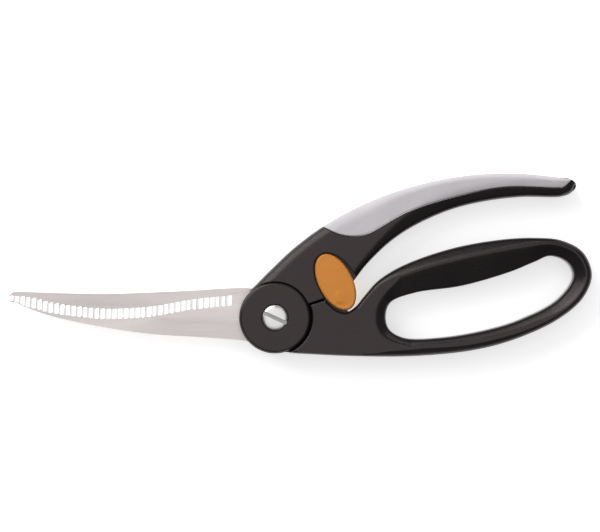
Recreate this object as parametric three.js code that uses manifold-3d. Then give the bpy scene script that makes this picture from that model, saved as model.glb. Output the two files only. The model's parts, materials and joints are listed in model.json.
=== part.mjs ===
// Poultry shears, 25 cm long, lying flat with the blades towards -X and the handles towards +X.
// Millimetres, +Z up through the thickness. The origin is on the pivot's axis, in the plane of the
// rear faces that the shears lie on. The shears are closed and the thumb lock is released.
import * as THREE from 'three';
import { mergeVertices } from 'three/addons/utils/BufferGeometryUtils.js';
import Module from 'manifold-3d';

const wasm = await Module();
wasm.setup();

// Driving dimensions.
const GAP = 0.3; // between pieces that touch
const THICKNESS = 18; // of both handles
const MIDDLE = THICKNESS / 2;
const BLADE = 2.5; // blade thickness
const REAR_BLADE_Z = MIDDLE - GAP / 2 - BLADE;
const FRONT_BLADE_Z = MIDDLE + GAP / 2;
const BEVEL_WIDTH = 4; // of the ground band along a cutting edge
const EDGE_THICKNESS = 0.3; // what the grinding leaves at the edge
const TOOTH_PITCH = 2.5;
const TOOTH_RADIUS = 2.4; // of the wheel that grinds one tooth

const BOSS_RADIUS = 13.5; // round part of each blade at the pivot
const CAP_RADIUS = 15.1;
const CAP_EDGE = 1.15; // rounding of the caps' rims
const CAP_TOP = THICKNESS + 0.5;
const FIXED_WALL = CAP_RADIUS + GAP; // handle wall that stands still against a cap
const MOVING_WALL = 16.2; // handle wall that a cap turns against
const BARREL_RADIUS = 4;
const BLADE_BORE = 4.2;
const CAP_BORE = 4.25;
const HEAD_RADIUS = 5.45;
const COUNTERBORE = 5.8;
const NUT_HEAD = 2.4;
const REAR_COUNTERBORE_Z = 3.4;
const FRONT_COUNTERBORE_Z = 16.45;
const SPRING_CAVITY_Z = 15.65;
const SPRING_CAVITY_RADIUS = 12.4;
const BARREL_TOP = 16.2;
const SCREW_HEAD_Z = 17.2;
const SCREW_RADIUS = 2;
const SCREW_FLOAT = 0.5; // room under the screw's end in the blind nut
const SCREW_RIM = 1.1; // straight rim of the screw's head, below its dome
const SCREW_DOME = 0.8;
const SLOT_WIDTH = 1.5;
const SLOT_DEPTH = 1;
const SLOT_ANGLE = THREE.MathUtils.degToRad(-25);
const CAVITY_BASE = FRONT_BLADE_Z + BLADE + GAP; // underside of the front cap
const WASHER_GAP = 0.15; // between a washer and its seat
const RUNNING_GAP = 0.2; // between a washer and what turns on it
const SLEEVE_RADIUS = 6.9;
const SLEEVE_FLANGE = 7.4;

const WIRE = 1.1; // spring wire diameter
const COIL_RADIUS = 9;
const COIL_LOW = 12.7;
const COIL_HIGH = 14.9;
const LOOP_LEG_ANGLE = THREE.MathUtils.degToRad(-20);
const LEVER_LEG_ANGLE = THREE.MathUtils.degToRad(75);
const LEG_END = 19;
const LEG_WAY = 1.9; // width of the ways that the legs lie in
const OPENING = THREE.MathUtils.degToRad(32);

const OVAL_LONG = 13.2; // half axes of the thumb lock
const OVAL_SHORT = 7.35;
const OVAL_CENTRE = new THREE.Vector2(26.1, 15.4);
const OVAL_TILT = THREE.MathUtils.degToRad(-62.4);
const LOCK_AXLE = new THREE.Vector2(22.3, 22.7);
const LOCK_TURN = THREE.MathUtils.degToRad(8);
const LOCK_STEPS = 3;
const LOCK_SEAT_FRONT = 14.3; // floors of the two recesses in the lever
const LOCK_SEAT_REAR = 3.2;
const BUTTON_FRONT_Z = 15.15;
const BUTTON_REAR_TOP = LOCK_SEAT_REAR - GAP;
const BUTTON_REAR_Z = 0.3;
const HOOK_Z = 8;
const HOOK_THICKNESS = 2;
const CATCH_PIN = new THREE.Vector2(35.8, 0.9);
const CATCH_PIN_RADIUS = 1.2;
const CATCH_PIN_LOW = 4.6;
const CATCH_PIN_HIGH = 13.4;
const AXLE_RADIUS = 1.75;
const AXLE_TOP = BUTTON_FRONT_Z + 1.3;
const AXLE_BORE = 1.05; // for the lock's screw
const AXLE_BORE_TOP = 8.4;
const LOCK_SCREW_RADIUS = 0.9;
const LOCK_SCREW_HEAD = 2.1;
const HUB_RADIUS = 4.6; // of the hook, round the axle
const OVAL_EDGE = 1.2; // rounding of the oval's edge
const OVAL_ROOM = 0.4; // round the oval in its recess

const GRIP_SKIN = 2.3; // thickness of the soft inlay over the lever's core
const CORE_INSET = 2; // of the core's faces under the inlay
const CORE_ROOM = 0.3; // between the core's faces and the inlay's
const EDGE_DEPTH = 5.5; // how far the handles' edge roundings reach down from each face
const LEVER_EDGE = 2.4; // how far they reach in from the outline
const LOOP_EDGE = 3.1;
const CORE_EDGE = 1.9;
const CORE_EDGE_DEPTH = 3.5;
const BEYOND = 80; // further than any outline, for cutting prisms

// Outlines, each with only the points that its curve runs through.
const LEVER_CORNER = [-10.9, 11.6];
const LEVER_BACK = [
  [-3, 19.6], [8.2, 30.1], [23.7, 41.3], [44.5, 51.7], [65.3, 58.2], [86, 61.7], [106.8, 62.1],
  [122.4, 60.6],
];
const LEVER_TIP = [[127.2, 60], [130.1, 57.4], [128.3, 54.2]];
const LEVER_BELLY = [
  [124.2, 52.4], [106.8, 52.2], [91.2, 50.4], [75.6, 46.5], [60.1, 39.6], [49.7, 32.7],
  [39.3, 22.7], [33.2, 15], [27.5, 10],
];
const GRIP_LINE = [
  [18.5, 40.5], [27.2, 36.2], [33.3, 35.2], [39.7, 36.2], [57.7, 45.9], [80, 52.8],
  [99.6, 56.4], [122.8, 56.1], [124.7, 56.5], [127.4, 58.9],
];
const LOOP_LINE = [
  [8.2, -15.4], [34.1, -16.6], [60.1, -16.6], [86, -14], [104, -9.2], [122.4, -0.6], [133, 8.6],
  [136.8, 18.4], [133, 28.2], [124, 33.3], [112, 34.5], [96.4, 33.6], [75.6, 29.7],
  [54.9, 22.3], [44.5, 15.8], [38.6, 9.2], [34.9, 4.6], [30.7, 2.2], [26.6, 3.3], [22.6, 6.6],
];
const FINGER_HOLE = [
  [49.9, 6.5], [60.1, 10.6], [80.8, 13.7], [101.6, 19.7], [112, 24], [119, 26.6], [126.4, 23.7],
  [128.9, 17.6], [122.4, 8], [107, -0.4], [91.2, -5.4], [70.5, -8.8], [55.5, -8.7], [49.2, -4.9],
];
const EDGE_LINE = [
  [-114.7, 9.3], [-106, 8.5], [-97.4, 6.3], [-88.7, 5], [-75.7, 3.7], [-67.1, 3.7], [-54.1, 4.6],
  [-36.8, 7.6], [-20.4, 9.3],
];
const FRONT_SPINE = [
  [-6, -12.2], [-12.6, -10.2], [-28.2, -8.8], [-54.1, -7.1], [-74.9, -4.1], [-95.6, 0.3],
  [-106, 3.7], [-112, 6.4],
];
const REAR_SPINE = [
  [-3, 11.8], [-12.6, 12.8], [-38.5, 11.5], [-59.3, 10.6], [-74.9, 10.2], [-95.6, 10.6],
  [-111.2, 11.2],
];

function vectors(points) {
  return points.map(([x, y]) => new THREE.Vector2(x, y));
}

function polygon(points) {
  return new THREE.Shape(vectors(points));
}

// Points [x, y] on a smooth curve through a few points, `fine` of them to a span.
function smooth(points, fine = 3, closed = false) {
  const through = points.map(([x, y]) => new THREE.Vector3(x, y, 0));
  const curve = new THREE.CatmullRomCurve3(through, closed, 'centripetal');
  const spans = closed ? points.length : points.length - 1;
  const found = curve.getPoints(spans * fine).map((p) => [p.x, p.y]);
  return closed ? found.slice(1) : found;
}

// Solids and booleans.
function toSolid(geometry) {
  const bare = geometry.clone();
  bare.deleteAttribute('normal');
  bare.deleteAttribute('uv');
  const merged = mergeVertices(bare, 1e-4);
  return new wasm.Manifold(new wasm.Mesh({
    numProp: 3,
    vertProperties: new Float32Array(merged.attributes.position.array),
    triVerts: new Uint32Array(merged.index.array),
  }));
}

function toGeometry(solid) {
  const mesh = solid.getMesh();
  const geometry = new THREE.BufferGeometry();
  geometry.setAttribute('position', new THREE.BufferAttribute(mesh.vertProperties, 3));
  geometry.setIndex(new THREE.BufferAttribute(mesh.triVerts, 1));
  geometry.computeVertexNormals();
  return geometry;
}

function union(solids) {
  return solids.reduce((whole, solid) => whole.add(solid));
}

function prism(shape, low, high, curveSegments = 12) {
  const geometry = new THREE.ExtrudeGeometry(shape, {
    depth: high - low,
    bevelEnabled: false,
    curveSegments,
  });
  return toSolid(geometry.translate(0, 0, low));
}

// A prism whose edges are rounded by a quarter ellipse, `across` wide and `deep` high.
function roundedPrism(shape, low, high, across, deep, curveSegments = 4, bevelSegments = 3) {
  const geometry = new THREE.ExtrudeGeometry(shape, {
    depth: high - low - 2 * deep,
    bevelEnabled: true,
    bevelSize: across,
    bevelOffset: -across,
    bevelThickness: deep,
    bevelSegments,
    curveSegments,
  });
  return toSolid(geometry.translate(0, 0, low + deep));
}

// A solid of revolution about the pivot's axis from [radius, z] pairs, or about another point.
function turned(profile, segments = 36, centre = new THREE.Vector2()) {
  const geometry = new THREE.LatheGeometry(vectors(profile), segments);
  return toSolid(geometry.rotateX(Math.PI / 2).translate(centre.x, centre.y, 0));
}

function rod(radius, low, high, centre, segments = 24) {
  return turned([[0, low], [radius, low], [radius, high], [0, high]], segments, centre);
}

function ring(inner, outer, low, high, centre, segments = 36) {
  const profile = [[inner, low], [outer, low], [outer, high], [inner, high], [inner, low]];
  return turned(profile, segments, centre);
}

function roundedRim(low, high, roundAt) {
  const points = [];
  for (let step = 0; step <= 3; step += 1) {
    const angle = (step / 3) * (Math.PI / 2);
    const radius = CAP_RADIUS - CAP_EDGE * (1 - Math.cos(angle));
    const rise = CAP_EDGE * Math.sin(angle);
    points.push([radius, roundAt === high ? high - CAP_EDGE + rise : low + CAP_EDGE - rise]);
  }
  return roundAt === high ? points : points.reverse();
}

function turnAbout(point, centre, angle) {
  return point.clone().rotateAround(centre, angle);
}

// Pivot hardware.
function pivotScrew() {
  const dome = [];
  for (let step = 0; step <= 4; step += 1) {
    const angle = (step / 4) * (Math.PI / 2);
    const rise = SCREW_RIM + SCREW_DOME * Math.sin(angle);
    dome.push([HEAD_RADIUS * Math.cos(angle), SCREW_HEAD_Z + rise]);
  }
  const low = NUT_HEAD + SCREW_FLOAT;
  const top = SCREW_HEAD_Z + SCREW_RIM + SCREW_DOME;
  const body = turned([
    [0, low], [SCREW_RADIUS, low], [SCREW_RADIUS, SCREW_HEAD_Z], [HEAD_RADIUS, SCREW_HEAD_Z],
    ...dome.slice(0, -1), [0, top],
  ]);
  const slot = new THREE.BoxGeometry(3 * HEAD_RADIUS, SLOT_WIDTH, 2 * SLOT_DEPTH);
  return body.subtract(toSolid(slot.rotateZ(SLOT_ANGLE).translate(0, 0, top)));
}

function pivotNut() {
  const bore = SCREW_RADIUS + GAP;
  return turned([
    [0, 0], [HEAD_RADIUS, 0], [HEAD_RADIUS, NUT_HEAD], [BARREL_RADIUS, NUT_HEAD],
    [BARREL_RADIUS, BARREL_TOP], [bore, BARREL_TOP], [bore, NUT_HEAD], [0, NUT_HEAD],
  ]);
}

function headWasher() {
  const inner = SCREW_RADIUS + GAP;
  const low = FRONT_COUNTERBORE_Z + WASHER_GAP;
  return ring(inner, HEAD_RADIUS - WASHER_GAP, low, SCREW_HEAD_Z - RUNNING_GAP);
}

// A dished washer, wide enough to bear on the cap with its outer edge.
function springWasher() {
  const low = NUT_HEAD + RUNNING_GAP;
  const high = REAR_COUNTERBORE_Z - RUNNING_GAP;
  const inner = BARREL_RADIUS + GAP;
  const outer = COUNTERBORE - GAP;
  const thick = 0.35;
  return turned([
    [inner, low], [inner + GAP, low], [outer, high - thick], [outer, high], [outer - thick, high],
    [inner, low + thick], [inner, low],
  ]);
}

function springSleeve() {
  const low = CAVITY_BASE + RUNNING_GAP;
  const high = SPRING_CAVITY_Z - RUNNING_GAP;
  const flange = 0.4;
  return turned([
    [CAP_BORE, low], [SLEEVE_FLANGE, low], [SLEEVE_FLANGE, low + flange],
    [SLEEVE_RADIUS, low + flange], [SLEEVE_RADIUS, high], [CAP_BORE, high], [CAP_BORE, low],
  ]);
}

class SpringLine extends THREE.Curve {
  constructor() {
    super();
    this.legLength = LEG_END - COIL_RADIUS;
    this.wound = LOOP_LEG_ANGLE - (LEVER_LEG_ANGLE - 2 * 2 * Math.PI);
    this.coilLength = this.wound * COIL_RADIUS;
    this.total = 2 * this.legLength + this.coilLength;
  }

  getPoint(t, target = new THREE.Vector3()) {
    const way = t * this.total;
    const along = THREE.MathUtils.clamp((way - this.legLength) / this.coilLength, 0, 1);
    const angle = LOOP_LEG_ANGLE - along * this.wound;
    const outside = Math.max(this.legLength - way, way - this.legLength - this.coilLength, 0);
    const radius = COIL_RADIUS + outside;
    const height = THREE.MathUtils.lerp(COIL_LOW, COIL_HIGH, along);
    return target.set(radius * Math.cos(angle), radius * Math.sin(angle), height);
  }
}

function torsionSpring() {
  const wire = new THREE.Shape();
  wire.absarc(0, 0, WIRE / 2, 0, 2 * Math.PI, false);
  const geometry = new THREE.ExtrudeGeometry(wire, {
    steps: 64,
    curveSegments: 4,
    extrudePath: new SpringLine(),
  });
  return toSolid(geometry);
}

// A way for a spring leg, between two distances from the pivot, in the plane of the leg.
function legWay(angle, height, from, to) {
  const way = new THREE.BoxGeometry(to - from, LEG_WAY, LEG_WAY);
  return toSolid(way.translate((from + to) / 2, 0, height).rotateZ(angle));
}

function legWayInCap(angle, height) {
  return legWay(angle, height, SPRING_CAVITY_RADIUS - 1, CAP_RADIUS + 2);
}

// The loop handle's leg passes through the cap's wall, and the cap turns past it.
function sweptLegWay() {
  const ways = [];
  for (let step = 0; step <= 4; step += 1) {
    ways.push(legWayInCap(LOOP_LEG_ANGLE - (step / 4) * OPENING, COIL_LOW));
  }
  return union(ways);
}

function legWayInHandle(angle, height) {
  return legWay(angle, height, CAP_RADIUS - 1, LEG_END + 0.6);
}

function frontCap() {
  const body = turned([
    [CAP_BORE, SPRING_CAVITY_Z], [SPRING_CAVITY_RADIUS, SPRING_CAVITY_Z],
    [SPRING_CAVITY_RADIUS, CAVITY_BASE], [CAP_RADIUS, CAVITY_BASE],
    ...roundedRim(CAVITY_BASE, CAP_TOP, CAP_TOP),
    [COUNTERBORE, CAP_TOP], [COUNTERBORE, FRONT_COUNTERBORE_Z], [CAP_BORE, FRONT_COUNTERBORE_Z],
    [CAP_BORE, SPRING_CAVITY_Z],
  ], 48);
  return body.subtract(sweptLegWay()).subtract(legWayInCap(LEVER_LEG_ANGLE, COIL_HIGH));
}

function rearCap() {
  const top = REAR_BLADE_Z - GAP;
  return turned([
    [CAP_BORE, REAR_COUNTERBORE_Z], [COUNTERBORE, REAR_COUNTERBORE_Z], [COUNTERBORE, 0],
    ...roundedRim(0, top, 0), [CAP_RADIUS, top], [CAP_BORE, top], [CAP_BORE, REAR_COUNTERBORE_Z],
  ], 48);
}

// Blades.
function edgeCurve() {
  const through = EDGE_LINE.map(([x, y]) => new THREE.Vector3(x, y, 0));
  return new THREE.CatmullRomCurve3(through, false, 'centripetal');
}

function bandAngle() {
  return Math.atan2(BLADE - EDGE_THICKNESS, BEVEL_WIDTH);
}

// One wheel cut for each tooth: the wheels' lowest lines lie in the ground band.
function toothCuts() {
  const curve = edgeCurve();
  const count = Math.floor(curve.getLength() / TOOTH_PITCH);
  const tilt = bandAngle();
  const cuts = [];
  for (let tooth = 0; tooth <= count; tooth += 1) {
    const point = curve.getPointAt(tooth / count);
    const wheel = new THREE.CylinderGeometry(TOOTH_RADIUS, TOOTH_RADIUS, 9, 12);
    wheel.rotateX(-tilt);
    wheel.translate(
      point.x,
      point.y - 2 * Math.cos(tilt) + TOOTH_RADIUS * Math.sin(tilt),
      FRONT_BLADE_Z + EDGE_THICKNESS + 2 * Math.sin(tilt) + TOOTH_RADIUS * Math.cos(tilt),
    );
    cuts.push(toSolid(wheel));
  }
  return union(cuts);
}

function bladeEdge(offset) {
  return smooth(EDGE_LINE).map(([x, y]) => [x, y + offset]);
}

// The strip of blade that runs inside a handle, from the round boss along a curve.
function tang(points, width, low, high) {
  const curve = new THREE.SplineCurve(vectors(points));
  const left = [];
  const right = [];
  for (let step = 0; step <= 8; step += 1) {
    const point = curve.getPoint(step / 8);
    const way = curve.getTangent(step / 8);
    left.push([point.x - way.y * width / 2, point.y + way.x * width / 2]);
    right.push([point.x + way.y * width / 2, point.y - way.x * width / 2]);
  }
  return prism(polygon([...right, ...left.reverse()]), low, high);
}

const FRONT_TANG = [[6, 9], [9.5, 18], [18, 31.5], [30, 38], [43, 43.5]];
const REAR_TANG = [[4, -4], [12, -9.5], [24, -12], [46, -12.6]];
const TANG_WIDTH = 5.6;

function frontBlade() {
  const outline = polygon([
    [0, -12.2], ...smooth(FRONT_SPINE), [-115.4, 8.5], ...bladeEdge(0), [-12, 10], [0, 10],
  ].reverse());
  const top = FRONT_BLADE_Z + BLADE;
  return prism(outline, FRONT_BLADE_Z, top)
    .add(rod(BOSS_RADIUS, FRONT_BLADE_Z, top, undefined, 48))
    .add(tang(FRONT_TANG, TANG_WIDTH, FRONT_BLADE_Z, top))
    .subtract(rod(BLADE_BORE, FRONT_BLADE_Z - 1, top + 1, undefined, 36))
    .subtract(toothCuts());
}

// The plain bevel is ground on the rear face, so that the inner faces shear past each other.
function rearBevel(overlap) {
  const edge = bladeEdge(-overlap);
  const tilt = bandAngle();
  const cuts = [];
  for (let step = 0; step < edge.length - 1; step += 3) {
    const [x0, y0] = edge[step];
    const [x1, y1] = edge[Math.min(step + 3, edge.length - 1)];
    const box = new THREE.BoxGeometry(Math.hypot(x1 - x0, y1 - y0) + 1.6, 9, 4);
    box.rotateX(-tilt).rotateZ(Math.atan2(y1 - y0, x1 - x0));
    box.translate(
      (x0 + x1) / 2,
      (y0 + y1) / 2 - 2 * Math.sin(tilt),
      FRONT_BLADE_Z - GAP - EDGE_THICKNESS - 2 * Math.cos(tilt),
    );
    cuts.push(toSolid(box));
  }
  return union(cuts);
}

function rearBlade() {
  const overlap = 2;
  const outline = polygon([
    [0, 11.8], ...smooth(REAR_SPINE), [-115.2, 8.6], ...bladeEdge(-overlap), [-12, 7], [0, -10],
  ]);
  const top = REAR_BLADE_Z + BLADE;
  return prism(outline, REAR_BLADE_Z, top)
    .subtract(rearBevel(overlap))
    .add(rod(BOSS_RADIUS, REAR_BLADE_Z, top, undefined, 48))
    .add(tang(REAR_TANG, TANG_WIDTH, REAR_BLADE_Z, top))
    .subtract(rod(BLADE_BORE, REAR_BLADE_Z - 1, top + 1, undefined, 36));
}

// Thumb lock.
function ovalShape(turn, extra) {
  const centre = turnAbout(OVAL_CENTRE, LOCK_AXLE, turn);
  const shape = new THREE.Shape();
  shape.absellipse(
    centre.x, centre.y, OVAL_LONG + extra, OVAL_SHORT + extra, 0, 2 * Math.PI, false,
    OVAL_TILT + turn,
  );
  return shape;
}

// Everything that the oval passes through as it turns, with clearance.
function ovalSweep(low, high) {
  const places = [];
  for (let step = 0; step <= LOCK_STEPS; step += 1) {
    places.push(prism(ovalShape((step / LOCK_STEPS) * LOCK_TURN, OVAL_ROOM), low, high, 16));
  }
  return union(places);
}

function frontButton() {
  const low = BUTTON_FRONT_Z - OVAL_EDGE;
  const socket = rod(AXLE_RADIUS + 0.1, low, AXLE_TOP + RUNNING_GAP, LOCK_AXLE, 18);
  return roundedPrism(ovalShape(0, 0), low, CAP_TOP, OVAL_EDGE, OVAL_EDGE, 16, 2)
    .subtract(prism(ovalShape(0, 2), low - 1, BUTTON_FRONT_Z, 8))
    .subtract(socket);
}

function rearButton() {
  const bore = LOCK_SCREW_RADIUS + 0.25;
  const countersink = LOCK_SCREW_HEAD + GAP;
  const high = BUTTON_REAR_TOP + OVAL_EDGE;
  const screwHead = turned([
    [0, -1], [countersink, -1], [countersink, 0.9], [bore, 2], [bore, high], [0, high],
  ], 18, LOCK_AXLE);
  return roundedPrism(ovalShape(0, 0), BUTTON_REAR_Z, high, OVAL_EDGE, OVAL_EDGE, 16, 2)
    .subtract(prism(ovalShape(0, 2), BUTTON_REAR_TOP, high + 1, 8))
    .subtract(screwHead);
}

function lockScrew() {
  const low = 0.5;
  const high = AXLE_BORE_TOP - 0.4;
  return turned([
    [0, low], [LOCK_SCREW_HEAD, low], [LOCK_SCREW_HEAD, low + GAP], [LOCK_SCREW_RADIUS, 1.9],
    [LOCK_SCREW_RADIUS, high], [0, high],
  ], 18, LOCK_AXLE);
}

function lockAxle() {
  const low = BUTTON_REAR_TOP + RUNNING_GAP;
  return turned([
    [AXLE_BORE, low], [AXLE_RADIUS, low], [AXLE_RADIUS, AXLE_TOP], [0, AXLE_TOP],
    [0, AXLE_BORE_TOP], [AXLE_BORE, AXLE_BORE_TOP], [AXLE_BORE, low],
  ], 18, LOCK_AXLE);
}

function lockWasher() {
  const low = LOCK_SEAT_FRONT + WASHER_GAP;
  const high = BUTTON_FRONT_Z - RUNNING_GAP;
  return ring(AXLE_RADIUS + RUNNING_GAP, HUB_RADIUS - RUNNING_GAP, low, high, LOCK_AXLE, 24);
}

function lockHook() {
  const stem = polygon([
    [19.5, 20.5], [27.6, 4], [27.6, -5.2], [33.6, -5.2], [33.6, -2.2], [31, -2.2], [31.2, 1.5],
    [26, 23.5],
  ]);
  const top = HOOK_Z + HOOK_THICKNESS;
  return prism(stem, HOOK_Z, top)
    .add(rod(HUB_RADIUS, HOOK_Z, top, LOCK_AXLE))
    .subtract(rod(AXLE_RADIUS + 0.15, HOOK_Z - 1, top + 1, LOCK_AXLE, 18));
}

function hookWayInLever() {
  const low = HOOK_Z - GAP;
  const high = HOOK_Z + HOOK_THICKNESS + GAP;
  const way = polygon([[18.7, 20.5], [27, -3], [38, -3], [28.5, 24]]);
  return prism(way, low, high).add(rod(HUB_RADIUS + 0.8, low, high, LOCK_AXLE));
}

function catchPin() {
  return rod(CATCH_PIN_RADIUS, CATCH_PIN_LOW, CATCH_PIN_HIGH, CATCH_PIN, 18);
}

// Handles. The parting line is where the closed handles meet beside the pivot.
const PARTING = [[0, 1.1], [24, 8.6]];

function below(offset) {
  const [[x0, y0], [x1, y1]] = PARTING;
  return prism(polygon([
    [-BEYOND, -BEYOND], [x1, -BEYOND], [x1, y1 + offset], [x0, y0 + offset], [-BEYOND, 1.1],
  ]), -1, THICKNESS + 1);
}

function pivotClearance(frontRadius, rearRadius, plane) {
  return rod(frontRadius, plane, THICKNESS + 1, undefined, 60)
    .add(rod(rearRadius, -1, plane, undefined, 60));
}

// The last three points lie under the pivot caps.
function leverShape(drop) {
  const outline = [
    LEVER_CORNER, ...smooth(LEVER_BACK), ...LEVER_TIP, ...smooth(LEVER_BELLY), [14, 1.5], [2, 4],
    [-5, 10.5],
  ];
  return polygon(outline.map(([x, y]) => [x, y - drop]));
}

function leverSolid() {
  return roundedPrism(leverShape(0), 0, THICKNESS, LEVER_EDGE, EDGE_DEPTH, 3);
}

// The soft inlay's side of the line that runs along the lever.
function gripSide(shiftX, shiftY, end) {
  const line = smooth(GRIP_LINE).map(([x, y]) => [x + shiftX, y + shiftY]);
  return prism(polygon([...line, [end, 64], [end, BEYOND], [0, BEYOND]]), -1, THICKNESS + 1);
}

function leverCore() {
  const high = THICKNESS - CORE_INSET;
  const shape = leverShape(GRIP_SKIN);
  const core = roundedPrism(shape, CORE_INSET, high, CORE_EDGE, CORE_EDGE_DEPTH, 3, 2);
  const room = prism(polygon([[12, 20], [123.5, 20], [123.5, BEYOND], [12, BEYOND]]), 0, THICKNESS);
  return core.intersect(room).intersect(gripSide(0, -1, 128));
}

function upperHandle() {
  const tangRoom = tang(
    FRONT_TANG, TANG_WIDTH + 2 * GAP, FRONT_BLADE_Z - GAP, FRONT_BLADE_Z + BLADE + GAP,
  );
  const tangEnd = rod(TANG_WIDTH / 2, FRONT_BLADE_Z - GAP, FRONT_BLADE_Z + BLADE + GAP,
    new THREE.Vector2(...FRONT_TANG.at(-1)), 12);
  const rearStep = prism(polygon([[-20, 0], [-1, 0], [-1, 30], [-20, 30]]), -1, FRONT_BLADE_Z);
  return leverSolid()
    .subtract(gripSide(0, 0, 128.6))
    .add(leverCore())
    .subtract(below(0.4))
    .subtract(pivotClearance(FIXED_WALL, MOVING_WALL, FRONT_BLADE_Z))
    .subtract(rearStep)
    .subtract(tangRoom)
    .subtract(tangEnd)
    .subtract(legWayInHandle(LEVER_LEG_ANGLE, COIL_HIGH))
    .subtract(ovalSweep(LOCK_SEAT_FRONT, THICKNESS + 1))
    .subtract(ovalSweep(-1, LOCK_SEAT_REAR))
    .subtract(hookWayInLever())
    .subtract(rod(AXLE_RADIUS + 0.2, 0, THICKNESS, LOCK_AXLE, 18));
}

function upperGrip() {
  const low = CORE_INSET - CORE_ROOM;
  const shape = leverShape(GRIP_SKIN - 0.4);
  const grown = roundedPrism(shape, low, THICKNESS - low, CORE_EDGE - 0.6, CORE_EDGE_DEPTH, 3, 2);
  const room = prism(polygon([[11, 20], [123.8, 20], [123.8, BEYOND], [11, BEYOND]]), 0, THICKNESS);
  return leverSolid()
    .intersect(gripSide(-0.15, 0.35, 128.3))
    .subtract(grown.intersect(room));
}

function loopShape() {
  const shape = polygon([[-2, -14.2], ...smooth(LOOP_LINE), [20, 12], [6, 8]]);
  shape.holes.push(polygon(smooth(FINGER_HOLE, 3, true)));
  return shape;
}

function hookWayInLoop() {
  const way = polygon([[26.8, -6.2], [38.2, -6.2], [38.2, 14], [26.8, 14]]);
  return prism(way, HOOK_Z - 0.4, HOOK_Z + HOOK_THICKNESS + 0.4);
}

// What the loop handle leaves free at its left end, under a line from the pivot to [x, -18.2].
function leftOf(x, low, high) {
  return prism(polygon([[0, 0], [-12, 0], [-12, -20], [x, -18.2]]), low, high);
}

function lowerHandle() {
  const plane = REAR_BLADE_Z + BLADE + GAP;
  const tangRoom = tang(
    REAR_TANG, TANG_WIDTH + 2 * GAP, REAR_BLADE_Z - GAP, REAR_BLADE_Z + BLADE + GAP,
  );
  const tangEnd = rod(TANG_WIDTH / 2, REAR_BLADE_Z - GAP, REAR_BLADE_Z + BLADE + GAP,
    new THREE.Vector2(...REAR_TANG.at(-1)), 12);
  const catchPinHole = rod(
    CATCH_PIN_RADIUS + 0.15, CATCH_PIN_LOW - GAP, CATCH_PIN_HIGH + GAP, CATCH_PIN, 18,
  );
  const above = prism(polygon([[0, BEYOND], [-BEYOND, BEYOND], [-BEYOND, 0.7], [0, 0.7],
    [24, 8.2], [24, BEYOND]]), -1, THICKNESS + 1);
  return roundedPrism(loopShape(), 0, THICKNESS, LOOP_EDGE, EDGE_DEPTH, 3)
    .subtract(above)
    .subtract(leftOf(7.4, plane, THICKNESS + 1))
    .subtract(leftOf(2.8, -1, plane))
    .subtract(pivotClearance(MOVING_WALL, FIXED_WALL, plane))
    .subtract(tangRoom)
    .subtract(tangEnd)
    .subtract(legWayInHandle(LOOP_LEG_ANGLE, COIL_LOW))
    .subtract(hookWayInLoop())
    .subtract(catchPinHole);
}

// Materials.
const MATERIALS = {
  black: { color: 0x3a3738, roughness: 0.5, metalness: 0 },
  grey: { color: 0xb9b3b8, roughness: 0.75, metalness: 0 },
  orange: { color: 0xc88344, roughness: 0.45, metalness: 0 },
  blade: { color: 0xc9c4c3, roughness: 0.3, metalness: 1 },
  bright: { color: 0xd8d6d4, roughness: 0.2, metalness: 1 },
  spring: { color: 0x9a9a9c, roughness: 0.3, metalness: 1 },
  nylon: { color: 0xd9d4c8, roughness: 0.6, metalness: 0 },
};

const shears = new THREE.Group();

function piece(name, material, solid) {
  const mesh = new THREE.Mesh(
    toGeometry(solid),
    new THREE.MeshStandardMaterial(MATERIALS[material]),
  );
  mesh.name = name;
  shears.add(mesh);
}

piece('upper_handle', 'black', upperHandle());
piece('upper_grip', 'grey', upperGrip());
piece('lower_handle', 'black', lowerHandle());
piece('lower_blade', 'blade', frontBlade());
piece('upper_blade', 'blade', rearBlade());
piece('front_pivot_cap', 'black', frontCap());
piece('rear_pivot_cap', 'black', rearCap());
piece('pivot_screw', 'bright', pivotScrew());
piece('pivot_nut', 'bright', pivotNut());
piece('head_washer', 'bright', headWasher());
piece('spring_washer', 'spring', springWasher());
piece('spring_sleeve', 'nylon', springSleeve());
piece('torsion_spring', 'spring', torsionSpring());
piece('lock_front_button', 'orange', frontButton());
piece('lock_rear_button', 'orange', rearButton());
piece('lock_hook', 'spring', lockHook());
piece('lock_axle', 'bright', lockAxle());
piece('lock_screw', 'bright', lockScrew());
piece('lock_washer', 'spring', lockWasher());
piece('catch_pin', 'bright', catchPin());

export default shears;
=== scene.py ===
"""Poultry shears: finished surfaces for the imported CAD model, in metres, in the model's own frame.

The shears lie on their rear face: blades towards -X, handles towards +X, +Z out of the front.
Outlines and heights below are in millimetres, and every mesh is scaled to metres when it is made.
"""
import json
import math

import bpy
import numpy as np
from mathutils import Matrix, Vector, geometry


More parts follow.
